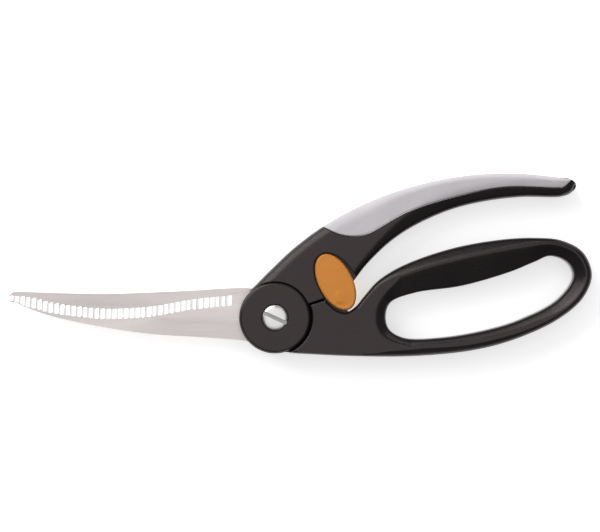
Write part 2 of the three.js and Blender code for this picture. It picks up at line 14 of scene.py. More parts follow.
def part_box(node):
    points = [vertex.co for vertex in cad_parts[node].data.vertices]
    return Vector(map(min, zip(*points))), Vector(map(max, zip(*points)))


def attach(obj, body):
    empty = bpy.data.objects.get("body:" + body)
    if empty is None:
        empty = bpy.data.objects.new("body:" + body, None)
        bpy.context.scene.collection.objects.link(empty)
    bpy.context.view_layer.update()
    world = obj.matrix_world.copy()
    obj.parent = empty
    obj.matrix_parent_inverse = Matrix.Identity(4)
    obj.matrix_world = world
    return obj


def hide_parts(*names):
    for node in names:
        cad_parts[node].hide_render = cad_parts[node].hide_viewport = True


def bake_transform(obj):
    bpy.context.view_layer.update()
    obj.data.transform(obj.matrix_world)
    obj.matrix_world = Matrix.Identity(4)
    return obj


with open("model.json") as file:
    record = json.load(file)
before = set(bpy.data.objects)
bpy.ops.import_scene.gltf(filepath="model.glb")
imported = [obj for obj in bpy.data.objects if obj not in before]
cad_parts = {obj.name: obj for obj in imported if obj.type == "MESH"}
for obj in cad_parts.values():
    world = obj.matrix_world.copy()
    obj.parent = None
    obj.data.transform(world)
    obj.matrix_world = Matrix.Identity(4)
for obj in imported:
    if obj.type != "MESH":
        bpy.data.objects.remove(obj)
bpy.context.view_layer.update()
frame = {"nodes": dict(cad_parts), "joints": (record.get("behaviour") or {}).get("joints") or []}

MM = 0.001
THICKNESS = 18.0  # of both handles
MIDDLE = THICKNESS / 2
SEAM = 0.03  # half the hairline between the mould halves
FINE = 0.7  # spacing of points along an outline

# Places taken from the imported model, in millimetres.
cap_low, cap_high = (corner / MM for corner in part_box("front_pivot_cap"))
CAP_RADIUS = (cap_high.x - cap_low.x) / 2
screw_low, screw_high = (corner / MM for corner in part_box("pivot_screw"))
HEAD_RADIUS = (screw_high.x - screw_low.x) / 2
front_blade_low, front_blade_high = (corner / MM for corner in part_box("lower_blade"))
rear_blade_low, rear_blade_high = (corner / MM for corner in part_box("upper_blade"))
button_low, button_high = (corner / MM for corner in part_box("lock_front_button"))
rear_button_low, rear_button_high = (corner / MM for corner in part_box("lock_rear_button"))
lock_joint = next(j for j in frame["joints"] if j["name"] == "lock_turn")
LOCK_AXLE = np.array(lock_joint["pos_m"][:2]) / MM
LOCK_TURN = math.radians(lock_joint["range_deg"][1])

FIXED_WALL = 15.4  # radius of a handle wall that stands still beside a pivot cap
MOVING_WALL = 16.2  # radius of a handle wall that a pivot cap turns against

# Outlines: the same curves as the CAD model's, with one more point at the hole's round left end.
LEVER_CORNER = (-10.9, 11.6)
LEVER_LINE = [
    (-3, 19.6), (8.2, 30.1), (23.7, 41.3), (44.5, 51.7), (65.3, 58.2), (86, 61.7), (106.8, 62.1),
    (122.4, 60.6), (127.2, 59.9), (130.1, 57.4), (128.3, 54.2), (124.2, 52.4), (106.8, 52.2),
    (91.2, 50.4), (75.6, 46.5), (60.1, 39.6), (49.7, 32.7), (39.3, 22.7), (33.2, 15), (27.5, 10),
]
GRIP_LINE = [
    (18.5, 40.5), (27.2, 36.2), (33.3, 35.2), (39.7, 36.2), (57.7, 45.9), (80, 52.8),
    (99.6, 56.4), (122.8, 56.1), (124.7, 56.5), (127.4, 58.9),
]
LOOP_LINE = [
    (8.2, -15.4), (34.1, -16.6), (60.1, -16.6), (86, -14), (104, -9.2), (122.4, -0.6),
    (133, 8.6), (136.8, 18.4), (133, 28.2), (124, 33.3), (112, 34.5), (96.4, 33.6),
    (75.6, 29.7), (54.9, 22.3), (44.5, 15.8), (38.6, 9.2), (34.9, 4.6), (30.7, 2.2),
    (26.6, 3.3), (22.6, 6.6),
]
FINGER_HOLE = [
    (49.9, 6.5), (60.1, 10.6), (80.8, 13.7), (101.6, 19.7), (112, 24), (119, 26.6),
    (126.4, 23.7), (128.9, 17.6), (122.4, 8), (107, -0.4), (91.2, -5.4), (70.5, -8.8),
    (55.5, -8.7), (49.2, -4.9), (47.8, 0.7),
]
EDGE_LINE = [
    (-114.7, 9.3), (-106, 8.5), (-97.4, 6.3), (-88.7, 5), (-75.7, 3.7), (-67.1, 3.7),
    (-54.1, 4.6), (-36.8, 7.6), (-20.4, 9.3),
]
FRONT_SPINE = [
    (-112, 6.4), (-106, 3.7), (-95.6, 0.3), (-74.9, -4.1), (-54.1, -7.1), (-28.2, -8.8),
    (-12.6, -10.2), (-6, -12.2),
]
REAR_SPINE = [
    (-111.2, 11.2), (-95.6, 10.6), (-74.9, 10.2), (-59.3, 10.6), (-38.5, 11.5), (-12.6, 12.8),
    (-3, 11.8),
]
PARTING = ((0.0, 1.1), (24.0, 8.6))  # where the closed handles meet beside the pivot
HALF_GAP = 0.4  # from the parting to either handle

OVAL_CENTRE = np.array((26.1, 15.4))
OVAL_LONG, OVAL_SHORT = 13.2, 7.35
OVAL_TILT = math.radians(-62.4)
SEAT_FRONT = 14.3  # floor of the lever's front recess for the lock
SEAT_REAR = 3.2  # and of its rear recess


# ---- curves and distances


def mix(p, q, start, end, t):
    """From p at start to q at end."""
    return (p * (end - t) + q * (t - start)) / (end - start)


def smooth(points, closed=False, gap=FINE):
    """Points about `gap` apart on a centripetal Catmull-Rom curve through a few points."""
    p = np.array(points, float)
    if closed:
        q = np.vstack([p[-1:], p, p[:2]])
    else:
        q = np.vstack([2 * p[:1] - p[1:2], p, 2 * p[-1:] - p[-2:-1]])
    found = []
    for k in range(len(q) - 3):
        a, b, c, d = q[k : k + 4]
        t1 = np.linalg.norm(b - a) ** 0.5
        t2 = t1 + np.linalg.norm(c - b) ** 0.5
        t3 = t2 + np.linalg.norm(d - c) ** 0.5
        count = max(2, math.ceil(np.linalg.norm(c - b) / gap))
        for step in range(count):
            t = t1 + (t2 - t1) * step / count
            ab, bc, cd = mix(a, b, 0, t1, t), mix(b, c, t1, t2, t), mix(c, d, t2, t3, t)
            abc, bcd = mix(ab, bc, 0, t2, t), mix(bc, cd, t1, t3, t)
            found.append(mix(abc, bcd, t1, t2, t))
    if not closed:
        found.append(p[-1])
    return np.array(found)


def straight(points, gap=FINE):
    """Points about `gap` apart along a broken line."""
    found = [np.array(points[0], float)]
    for a, b in zip(points[:-1], points[1:]):
        a, b = np.array(a, float), np.array(b, float)
        count = max(1, math.ceil(np.linalg.norm(b - a) / gap))
        found.extend(a + (b - a) * step / count for step in range(1, count + 1))
    return np.array(found)


def arc(radius, start, end, gap=FINE):
    """Points on a circle round the pivot, between two angles in degrees."""
    turn = math.radians(end - start)
    count = max(8, math.ceil(abs(turn) * radius / gap))
    angles = math.radians(start) + turn * np.arange(count + 1) / count
    return np.column_stack([radius * np.cos(angles), radius * np.sin(angles)])


def loop_of(line):
    """The same line, closed by repeating its first point."""
    return np.vstack([line, line[:1]])


def moved_out(line, offset):
    """A closed line moved outwards along its normals, or inwards by a negative offset."""
    way = np.roll(line, -1, axis=0) - np.roll(line, 1, axis=0)
    normal = np.column_stack([way[:, 1], -way[:, 0]])
    normal /= np.linalg.norm(normal, axis=1)[:, None]
    return line + normal * offset


def rotate(point, centre, angle):
    """A point turned about a centre by an angle in radians."""
    c, s = math.cos(angle), math.sin(angle)
    x, y = np.asarray(point) - centre
    return centre + np.array((x * c - y * s, x * s + y * c))


def away(q, line):
    """Distance from each point to a broken line."""
    a, b = line[:-1], line[1:]
    ab = b - a
    size = np.maximum((ab**2).sum(1), 1e-12)
    best = np.empty(len(q))
    at_once = 2000
    for low in range(0, len(q), at_once):
        part = slice(low, low + at_once)
        ap = q[part, None, :] - a[None]
        t = np.clip((ap * ab[None]).sum(2) / size[None], 0, 1)
        best[part] = np.sqrt(((ap - t[..., None] * ab[None]) ** 2).sum(2).min(1))
    return best


def within(q, polygon):
    """True for each point inside a polygon."""
    x, y = q[:, 0], q[:, 1]
    odd = np.zeros(len(q), bool)
    for (x0, y0), (x1, y1) in zip(polygon, np.roll(polygon, -1, axis=0)):
        if y0 == y1:
            continue
        crosses = (y0 > y) != (y1 > y)
        odd ^= crosses & (x < (x1 - x0) * (y - y0) / (y1 - y0) + x0)
    return odd


def ease(value, low, high):
    """0 below low, 1 above high, and a smooth step between."""
    t = np.clip((value - low) / (high - low), 0, 1)
    return t * t * (3 - 2 * t)


def rounding(distance, across, deep, power=2.0):
    """How far a rounded edge has dropped, at a distance from it."""
    t = np.clip(1 - distance / across, 0, 1)
    return deep * (1 - (1 - t**power) ** (1 / power))


def lean(distance, across, slope, soft):
    """How far a leaning face has dropped at a distance from its foot, `across` from its ridge.

    `soft` rounds the ridge.
    """
    past = np.maximum(across - distance, 0)
    return slope * (np.sqrt(past**2 + soft**2) - soft)


def together(*drops):
    """Several drops at once, joined softly."""
    return sum(np.asarray(d) ** 3 for d in drops) ** (1 / 3)


# ---- meshes


def linked(name, data):
    """A new object in the scene, with the mesh, camera or light given."""
    obj = bpy.data.objects.new(name, data)
    bpy.context.scene.collection.objects.link(obj)
    return obj


def add_object(name, vertices, faces, slots=None):
    """A mesh object from vertices in millimetres; slots gives each face's material index."""
    mesh = bpy.data.meshes.new(name)
    mesh.from_pydata((np.asarray(vertices, float) * MM).tolist(), [], faces)
    mesh.validate()
    if slots is not None:
        mesh.polygons.foreach_set("material_index", slots)
    return linked(name, mesh)


def finish_shading(obj, angle=35):
    """Smooth faces, with edges sharper than an angle left sharp."""
    obj.data.polygons.foreach_set("use_smooth", [True] * len(obj.data.polygons))
    obj.data.set_sharp_from_angle(angle=math.radians(angle))


def joined(name, parts):
    """One object from several (vertices, faces) pairs."""
    vertices, faces = [], []
    for v, f in parts:
        start = len(vertices)
        vertices.extend(v)
        faces.extend([tuple(i + start for i in face) for face in f])
    return add_object(name, vertices, faces)


def boolean(obj, cutter, operation="DIFFERENCE"):
    """Cuts or joins exactly, keeps the result as obj's mesh and removes the cutter."""
    modifier = obj.modifiers.new("cut", "BOOLEAN")
    modifier.operation = operation
    modifier.solver = "EXACT"
    modifier.object = cutter
    bpy.context.view_layer.update()
    made = bpy.data.meshes.new_from_object(
        obj.evaluated_get(bpy.context.evaluated_depsgraph_get())
    )
    made.name = obj.name
    obj.modifiers.clear()
    obj.data = made
    bpy.data.objects.remove(cutter)
    return obj


SQUARE = ((-1, -1), (1, -1), (1, 1), (-1, 1))


def prism(name, polygon, low, high):
    """A plain prism, to cut with or to join on."""
    count = len(polygon)
    vertices = [(x, y, z) for z in (low, high) for x, y in polygon]
    faces = [tuple(reversed(range(count))), tuple(range(count, 2 * count))]
    faces += [(i, (i + 1) % count, (i + 1) % count + count, i + count) for i in range(count)]
    return add_object(name, vertices, faces)


def loft(name, rows, slot_of=lambda r: 0):
    """A closed solid through equal rows of points, with a material slot for each strip of it."""
    per = len(rows[0])
    vertices = [point for row in rows for point in row]
    faces, slots = [], []
    for c in range(len(rows) - 1):
        a, b = c * per, (c + 1) * per
        for r in range(per):
            s = (r + 1) % per
            faces.append((a + r, a + s, b + s, b + r))
            slots.append(slot_of(r))
    faces.append(tuple(range(per - 1, -1, -1)))
    faces.append(tuple(range(len(vertices) - per, len(vertices))))
    return add_object(name, vertices, faces, [*slots, 0, 0])


def turned(name, profile, segments=96):
    """A solid of revolution from (radius, z) pairs, closed on itself."""
    vertices, faces, rows = [], [], []
    for radius, z in profile:
        if radius < 1e-6:
            rows.append([len(vertices)] * segments)
            vertices.append((0, 0, z))
            continue
        rows.append(list(range(len(vertices), len(vertices) + segments)))
        angles = [2 * math.pi * step / segments for step in range(segments)]
        vertices += [(radius * math.cos(a), radius * math.sin(a), z) for a in angles]
    for low, high in zip(rows, rows[1:] + rows[:1]):
        for i in range(segments):
            j = (i + 1) % segments
            face = [low[i], low[j], high[j], high[i]]
            face = [v for k, v in enumerate(face) if v != face[k - 1]]
            if len(face) > 2:
                faces.append(tuple(face))
    return add_object(name, vertices, faces)


def finely(profile, gap=1.2):
    """The same closed profile with points about `gap` apart."""
    return straight([*profile, profile[0]], gap)[:-1]


def rounded(profile, radius_at, steps=4):
    """A (radius, z) profile with some corners, given by index, rounded by short curves."""
    found = []
    for k, corner in enumerate(profile):
        if k not in radius_at:
            found.append(corner)
            continue
        nearby = (corner, profile[k - 1], profile[(k + 1) % len(profile)])
        at, before, after = (np.array(p, float) for p in nearby)
        start, end = (at + (p - at) / np.linalg.norm(p - at) * radius_at[k]
                      for p in (before, after))
        for t in (step / steps for step in range(steps + 1)):
            found.append(tuple(start * (1 - t) ** 2 + at * 2 * t * (1 - t) + end * t**2))
    return found


RINGS = (0.03, 0.12, 0.3, 0.55, 0.9, 1.35, 1.9, 2.6, 3.4, 4.4, 5.5)
TINY = 1e-9  # an area or length too small to count


def doubled_area(a, b, c):
    """Twice the signed area of triangles, positive when they run anticlockwise."""
    return (b - a)[..., 0] * (c - a)[..., 1] - (b - a)[..., 1] * (c - a)[..., 0]


def spread(inside, lines, grid, rings):
    """Points and edges for a plate: its lines, rings beside them, and a grid between."""
    nearly = 0.93  # a ring's point nearer than this share of its distance is beside another line
    row_gap = 0.866  # the grid's rows are this share of its step apart
    least_gap = 0.62  # and its points stay this share of its step from the rings
    points, edges = [], []
    for line in lines:
        edges.extend((len(points) + k, len(points) + k + 1) for k in range(len(line) - 1))
        points.extend(line)
    for line in lines:
        way = np.gradient(line, axis=0)
        if np.allclose(line[0], line[-1]):
            way[0] = way[-1] = line[1] - line[-2]
        normal = np.column_stack([-way[:, 1], way[:, 0]])
        normal /= np.maximum(np.linalg.norm(normal, axis=1), TINY)[:, None]
        for ring in rings:
            for side in (1, -1):
                moved = line + normal * ring * side
                near = np.min([away(moved, other) for other in lines], axis=0)
                runs = np.flatnonzero(inside(moved) & (near > ring * nearly))
                index = {int(i): len(points) + n for n, i in enumerate(runs)}
                points.extend(moved[runs])
                edges.extend((index[i], index[i + 1]) for i in index if i + 1 in index)
    every = np.vstack(lines)
    low, high = every.min(0), every.max(0)
    xs = np.arange(low[0], high[0], grid)
    ys = np.arange(low[1], high[1], grid * row_gap)
    mesh_x, mesh_y = np.meshgrid(xs, ys)
    mesh_x[1::2] += grid / 2
    field = np.column_stack([mesh_x.ravel(), mesh_y.ravel()])
    field = field[inside(field)]
    near = np.min([away(field, line) for line in lines], axis=0)
    clear = near > rings[-1] + 0.4 * grid
    points.extend(field[clear])
    known = np.array(points)
    for q in field[~clear & (near > 0.5)]:
        if ((known - q) ** 2).sum(1).min() > (least_gap * grid) ** 2:
            points.append(q)
    return points, edges


def triangulated(points, edges, inside, tolerance):
    """Points and the triangles between them that lie inside, with each one's doubled area."""
    made = geometry.delaunay_2d_cdt([Vector(p) for p in points], edges, [], 0, tolerance)
    flat = np.array([tuple(v) for v in made[0]])
    triangles = np.array([f for f in made[2] if len(f) == 3])
    triangles = triangles[inside(flat[triangles].mean(1))]
    return flat, triangles, doubled_area(*(flat[triangles[:, k]] for k in range(3)))


def relief(inside, lines, height, base, rings=RINGS, grid=1.0, creases=()):
    """(vertices, faces) of a plate: a height for each point above a flat base.

    inside tells which points belong to the plate. lines are its borders, and creases are other
    lines that the surface follows; both get rings of points beside them.
    """
    points, edges = spread(inside, [*lines, *creases], grid, rings)
    flat, triangles, area = triangulated(points, edges, inside, 1e-5)
    triangles = triangles[np.abs(area) > TINY]
    area = area[np.abs(area) > TINY]
    triangles[area < 0] = triangles[area < 0][:, ::-1]
    used = np.unique(triangles)
    renumber = np.full(len(flat), -1)
    renumber[used] = np.arange(len(used))
    triangles = renumber[triangles]
    flat = flat[used]

    # The top, a wall down from each border edge, and a floor between the walls' feet.
    seen = dict.fromkeys((t[k], t[(k + 1) % 3]) for t in triangles.tolist() for k in range(3))
    border = [(i, j) for i, j in seen if (j, i) not in seen]
    rim = sorted({i for edge in border for i in edge})
    order = {i: n for n, i in enumerate(rim)}
    vertices = [tuple(v) for v in np.column_stack([flat, height(flat)])]
    foot = len(vertices)
    vertices += [(flat[i][0], flat[i][1], base) for i in rim]
    faces = [tuple(t) for t in triangles.tolist()]
    faces += [(j, i, foot + order[i], foot + order[j]) for i, j in border]
    spots, under, area = triangulated(
        flat[rim], [(order[i], order[j]) for i, j in border], inside, 1e-7
    )
    if len(spots) == len(rim):
        under[area >= 0] = under[area >= 0][:, ::-1]
        faces += [tuple(foot + i for i in f) for f in under.tolist()]
    return vertices, faces


def mirrored(part):
    """The same plate facing the other way, for the rear."""
    vertices, faces = part
    flipped = [(x, y, THICKNESS - z) for x, y, z in vertices]
    return flipped, [tuple(reversed(f)) for f in faces]


# ---- the parting and the lock's oval


def above_parting(q, offset):
    """True above the parting moved up by offset."""
    (x0, y0), (x1, y1) = PARTING
    return q[:, 1] > y0 + (q[:, 0] - x0) * (y1 - y0) / (x1 - x0) + offset


def parting_line(offset):
    """The parting moved up by offset, from the pivot to a little past its end."""
    (x0, y0), (x1, y1) = PARTING
    past = 6
    return straight([(x0, y0 + offset), (x1 + past, y1 + past * (y1 - y0) / (x1 - x0) + offset)])


def oval(extra=0.0, turn=0.0, count=96):
    """The lock's outline, grown by extra and turned about its axle."""
    centre = rotate(OVAL_CENTRE, LOCK_AXLE, turn)
    angles = 2 * math.pi * np.arange(count) / count
    u, v = (OVAL_LONG + extra) * np.cos(angles), (OVAL_SHORT + extra) * np.sin(angles)
    c, s = math.cos(OVAL_TILT + turn), math.sin(OVAL_TILT + turn)
    return centre + np.column_stack([u * c - v * s, u * s + v * c])


def oval_sweep(extra):
    """The outline of all that the oval passes through as it turns."""
    points = np.vstack([oval(extra, turn) for turn in np.linspace(0, LOCK_TURN, 5)])
    middle = rotate(OVAL_CENTRE, LOCK_AXLE, LOCK_TURN / 2)
    x, y = (points - middle).T
    angles, reach = np.arctan2(y, x), np.hypot(x, y)
    bins = np.linspace(-math.pi, math.pi, 97)
    line = []
    for low, high in zip(bins[:-1], bins[1:]):
        far = reach[(angles >= low) & (angles < high)].max()
        angle = (low + high) / 2
        line.append(middle + far * np.array((math.cos(angle), math.sin(angle))))
    line = np.array(line)
    for _ in range(3):  # smoothed
        line = 0.25 * np.roll(line, 1, axis=0) + 0.5 * line + 0.25 * np.roll(line, -1, axis=0)
    return line


# ---- lever


# Where a handle goes on under the discs, its shape is closed by a few hidden points.
LEVER_OUTER = smooth(LEVER_LINE)
LEVER_LEFT = straight([LEVER_CORNER, LEVER_LINE[0]])[:-1]
LEVER_FOOT = straight([(27.5, 10), (14, 1.5)])[1:]
LEVER_SHAPE = np.vstack([LEVER_LEFT, LEVER_OUTER, LEVER_FOOT, [(2, 4), (-5, 10.5)]])
LEVER_BACK = smooth(LEVER_LINE[:9])
GRIP_EDGE = smooth(GRIP_LINE)
SWEEP = oval_sweep(0.4)  # leaves 0.4 round the oval as it turns


def grip_side(q, offset):
    """True on the soft inlay's side of its edge, moved up by offset."""
    line = GRIP_EDGE + np.array((-0.4 * offset, offset))
    polygon = np.vstack([line, [(128.6, 64), (128.6, 90), (0, 90)]])
    return within(q, polygon)


def lever_height(q):
    """The lever's face without the recesses: a leaning band above the pivot, a broad rounding
    under the inlay, and a leaning face below."""
    far = ease(q[:, 0], 30, 70)
    above = away(q, np.vstack([LEVER_LEFT, LEVER_BACK]))
    banded = lean(above, across=4.1, slope=0.47, soft=0.7) + rounding(above, across=1.6, deep=3)
    inlaid = rounding(above, across=5.2 - 3 * far, deep=5.5 - 1.5 * far)
    back = banded + (inlaid - banded) * ease(q[:, 0], 18, 44)
    below = away(q, np.vstack([smooth(LEVER_LINE[9:]), LEVER_FOOT]))
    belly = lean(below, across=3.4 + 4.6 * far, slope=0.5, soft=1.8)
    return THICKNESS - together(back, belly + rounding(below, across=1.8, deep=3))


def lever_plate(front):
    """One half of the black lever, without the soft inlay."""
    wall = FIXED_WALL if front else MOVING_WALL
    left_end = -30.0 if front else -1.0
    seat = SEAT_FRONT if front else THICKNESS - SEAT_REAR
    recess = loop_of(SWEEP)
    under_grip = -0.08  # the black ends this far from the inlay's edge line
    grip_border = GRIP_EDGE + np.array((0.03, under_grip))
    beside = parting_line(HALF_GAP)

    def inside(q):
        return (
            within(q, LEVER_SHAPE)
            & (np.hypot(*q.T) > wall)
            & above_parting(q, HALF_GAP)
            & ~grip_side(q, under_grip)
            & (q[:, 0] > left_end)
        )

    def height(q):
        small = together(
            rounding(np.hypot(*q.T) - wall, across=0.5, deep=0.4),
            rounding(away(q, beside), across=0.5, deep=0.4),
            rounding(away(q, grip_border), across=0.35, deep=0.3),
            rounding(away(q, recess), across=0.45, deep=0.35),
        )
        z = lever_height(q) - small
        return np.where(within(q, SWEEP), np.minimum(z, seat), z)

    lines = [loop_of(LEVER_SHAPE), arc(wall, -10, 140), beside, grip_border]
    if not front:
        lines.append(straight([(left_end, 10), (left_end, 30)]))
    foot_of_recess = loop_of(moved_out(SWEEP, -0.06))
    part = relief(inside, lines, height, MIDDLE + SEAM, creases=[recess, foot_of_recess])
    return part if front else mirrored(part)


def grip_plate():
    """The front half of the soft inlay."""
    over_black = 0.1  # the inlay starts this far from its edge line
    border = GRIP_EDGE + np.array((-0.04, over_black))

    def inside(q):
        return within(q, LEVER_SHAPE) & grip_side(q, over_black)

    def height(q):
        return lever_height(q) - rounding(away(q, border), across=0.5, deep=0.3)

    return relief(inside, [loop_of(LEVER_SHAPE), border], height, MIDDLE + SEAM)


# ---- finger loop handle


LOOP_OUTER = smooth(LOOP_LINE)
LOOP_SHAPE = np.vstack([[(-2, -14.2)], LOOP_OUTER, [(20, 12), (6, 8)]])
HOLE = smooth(FINGER_HOLE, closed=True)
# What is cut from the handle left of the disc, in the front half and in the rear half.
CORNER_FRONT = np.array([(0, 0), (-12, 0), (-12, -20), (7.4, -18.2)])
CORNER_REAR = np.array([(0, 0), (-12, 0), (-12, -20), (2.8, -18.2)])
LOOP_SIDE = np.vstack([straight([(-2, -14.2), (8.2, -15.4)]), LOOP_OUTER])


def below_hole(q):
    """Whether points lie below the hole's long axis."""
    return q[:, 1] < -0.5 + (q[:, 0] - 50) * 0.225


def ridge_place(q):
    """Distances from the handle's outside and from the hole, and the ridge's from the outside.

    The ridge stands at a share of the way to the hole. It starts beside the edge at the head.
    """
    outside = away(q, LOOP_SIDE)
    hole = away(q, loop_of(HOLE))
    x = q[:, 0]
    lower = below_hole(q)
    least, most = 1.1, 5
    share = np.where(lower, 0.48 - 0.08 * ease(x, 62, 88) - 0.1 * ease(x, 90, 120), 0.3)
    grown = np.where(lower, ease(x, 36, 66), ease(x, 33, 60))
    ridge = least + grown * (np.minimum(share * (outside + hole), most) - least)
    return outside, hole, ridge


def ridge_line():
    """The ridge that runs round the finger loop, from the crotch to the head's lower side."""
    start_x, settling, smoothing = 44, 10, 4
    way = np.gradient(LOOP_OUTER, axis=0)
    way /= np.linalg.norm(way, axis=1)[:, None]
    inwards = np.column_stack([-way[:, 1], way[:, 0]])
    reach = np.full(len(way), 3.0)
    for _ in range(settling):
        reach = 0.5 * reach + 0.5 * ridge_place(LOOP_OUTER + inwards * reach[:, None])[2]
    line = LOOP_OUTER + inwards * reach[:, None]
    far = np.flatnonzero(line[:, 0] > start_x)
    line = line[far[0] : far[-1] + 1]
    for _ in range(smoothing):
        line[1:-1] = (line[:-2] + 2 * line[1:-1] + line[2:]) / 4
    return line


def loop_height(q):
    """A ridge runs round the finger loop, nearer its outside. The head at the pivot is flat."""
    outside, hole, ridge = ridge_place(q)
    x = q[:, 0]
    lower = below_hole(q)
    # Below the hole there is a flat beside the ridge.
    crest = np.where(lower, 1.2 * ease(x, 52, 62) * (1 - ease(x, 110, 128)), 0)
    # The face that leans towards the hole is narrow at the head, and takes all the room beyond.
    narrow, widened = 4.6, 9.5
    hole_most = np.where(lower, narrow - 1.3 * ease(x, 44, 54) + widened * ease(x, 60, 76),
                         narrow + widened * ease(x, 46, 64))
    across = np.minimum(outside + hole - ridge - crest, hole_most)
    outer = lean(outside, ridge, slope=0.79, soft=0.8)
    inner = lean(hole, across, slope=0.8 - 0.35 * ease(across, 5, 8), soft=0.9)
    return THICKNESS - together(outer + rounding(outside, across=1.1, deep=1.8),
                                inner + rounding(hole, across=0.9, deep=1.3))


def loop_plate(front):
    """One half of the finger loop handle."""
    wall = MOVING_WALL if front else FIXED_WALL
    corner = CORNER_FRONT if front else CORNER_REAR
    end_line = straight([corner[3] * 0.5, corner[3]])
    beside = parting_line(-HALF_GAP)

    def inside(q):
        return (
            within(q, LOOP_SHAPE)
            & ~within(q, HOLE)
            & ~within(q, corner)
            & (np.hypot(*q.T) > wall)
            & ((q[:, 0] > PARTING[1][0]) | ~above_parting(q, -HALF_GAP))
        )

    def height(q):
        return loop_height(q) - together(
            rounding(np.hypot(*q.T) - wall, across=0.6, deep=0.45),
            rounding(away(q, beside), across=0.5, deep=0.4),
            rounding(away(q, end_line), across=0.6, deep=0.45),
        )

    lines = [loop_of(LOOP_SHAPE), loop_of(HOLE), arc(wall, -95, 40), beside, end_line]
    part = relief(inside, lines, height, MIDDLE + SEAM, creases=[ridge_line()])
    return part if front else mirrored(part)


# ---- blades


TOOTH_PITCH = 2.5
TOOTH_RADIUS = 5.0  # of the wheel that grinds a hollow
BAND = 4.0  # width of a ground band
EDGE_LEFT = 0.12  # thickness left at the cutting edge
BEVEL = math.atan2(2.2, BAND)  # the band is ground 2.2 deep
LEAST_STEEL = 0.4  # between a ground band and the spine
FRONT_Z = (front_blade_low.z, front_blade_high.z)
REAR_Z = (rear_blade_low.z, rear_blade_high.z)
BLADE_END = -9.0  # hidden under the pivot caps
FRONT_TIP_X, REAR_TIP_X = -115.4, -115.2


def height_of(line):
    """y as a function of x along a line that never turns back."""
    order = np.argsort(line[:, 0])
    return lambda x: np.interp(x, line[order, 0], line[order, 1])


def tooth_places():
    """The x of each tooth, with even steps along the edge."""
    edge = smooth(EDGE_LINE, gap=0.2)
    way = np.concatenate([[0], np.cumsum(np.linalg.norm(np.diff(edge, axis=0), axis=1))])
    count = int(way[-1] // TOOTH_PITCH)
    return np.interp(np.linspace(0, way[-1], count + 1), way, edge[:, 0])


def front_blade():
    """Lower blade: each tooth is a hollow ground across the bevelled band."""
    edge_y = height_of(np.vstack([smooth(EDGE_LINE, gap=0.5), [(-12, 9.9), (0, 10)]]))
    spine_y = height_of(np.vstack([[(FRONT_TIP_X, 7.1)], smooth(FRONT_SPINE, gap=0.5)]))
    teeth = tooth_places()
    reach = TOOTH_PITCH / 2 * 1.4  # how far along the edge the last hollow reaches
    last = teeth[-1] + reach
    cusps = (teeth[:-1] + teeth[1:]) / 2
    hollows = [np.linspace(a, b, 11)[:-1] for a, b in zip(cusps[:-1], cusps[1:])]
    columns = np.concatenate([
        np.linspace(FRONT_TIP_X, cusps[0], 12)[:-1], *hollows,
        np.linspace(cusps[-1], last, 14)[:-1], np.linspace(last, BLADE_END, 12),
    ])
    low, high = FRONT_Z
    slope = math.tan(BEVEL)
    band, flat = 9, 6  # points across the ground band and across the flat
    proud, plain = 0.1, 0.75  # how far teeth and the plain stretch pass the edge line
    broken, spine_broken = 0.1, 0.15  # the spine's edges are broken this much
    rows = []
    for x in columns:
        nearest = teeth[np.argmin(np.abs(teeth - x))]
        off = abs(x - nearest)
        spine = spine_y(x)
        if off < reach:
            cusp = (TOOTH_RADIUS - math.sqrt(TOOTH_RADIUS**2 - off**2)) / math.cos(BEVEL)
            base = low + EDGE_LEFT + cusp
            top = edge_y(nearest) + proud
            end = max(top - (high - base) / slope, spine + LEAST_STEEL)
            z_end = base + (top - end) * slope
        else:
            top, end = edge_y(x) + plain, edge_y(x) + plain - 0.05
            base = z_end = high
        row = [(x, top + (end - top) * t, base + (z_end - base) * t)
               for t in np.linspace(0, 1, band)]
        row += [(x, end + (spine + broken - end) * t, z_end)
                for t in np.linspace(0, 1, flat)[1:]]
        row += [(x, spine, z_end - spine_broken), (x, spine, low + broken),
                (x, spine + broken, low), (x, top, low)]
        rows.append(row)
    return loft("front_blade_steel", rows, lambda r: 1 if r < band - 1 else 0)


def rear_blade():
    """Upper blade: plain front face, bevel ground on the rear face."""
    overlap = 2.0  # how far its edge passes the front blade's
    broken, deeper = 0.06, 0.12  # the spine's edges are broken this much
    edge_y = height_of(np.vstack([smooth(EDGE_LINE, gap=0.5), [(-12, 9.4), (0, 10)]]))
    blunt = [(REAR_TIP_X, 9.7), (-113.8, 10.9)]
    spine_y = height_of(np.vstack([blunt, smooth(REAR_SPINE, gap=0.5)]))
    low, high = REAR_Z
    rows = []
    for x in np.linspace(REAR_TIP_X, BLADE_END, 150):
        edge = edge_y(x) - overlap * ease(x, REAR_TIP_X, -104)
        spine = max(spine_y(x), edge + LEAST_STEEL)
        width = min(BAND, (spine - edge) * 0.8)
        row = [(x, edge + width * t, low + (high - EDGE_LEFT - low) * (1 - t))
               for t in np.linspace(1, 0, 6)]
        row += [(x, edge + (spine - broken - edge) * t, high) for t in np.linspace(0, 1, 8)]
        row += [(x, spine, high - deeper), (x, spine, low + deeper), (x, spine - broken, low)]
        row += [(x, spine - broken + (edge + width - spine + broken) * t, low)
                for t in (0.3, 0.65)]
        rows.append(row[::-1])
    last = len(rows[0]) - 1
    return loft("rear_blade_steel", rows, lambda r: 2 if last - 5 <= r < last else 0)


BOSS_RADIUS = 13.5
BLADE_BORE = 4.2


def with_boss(blade, low, high):
    """The blade joined to its round boss at the pivot."""
    profile = [(BLADE_BORE, low), (BOSS_RADIUS, low), (BOSS_RADIUS, high), (BLADE_BORE, high)]
    return boolean(blade, turned("boss", profile, 72), "UNION")


# ---- pivot and lock


SKIRT = 15.42  # the caps' walls behind their rims meet the fixed handle walls


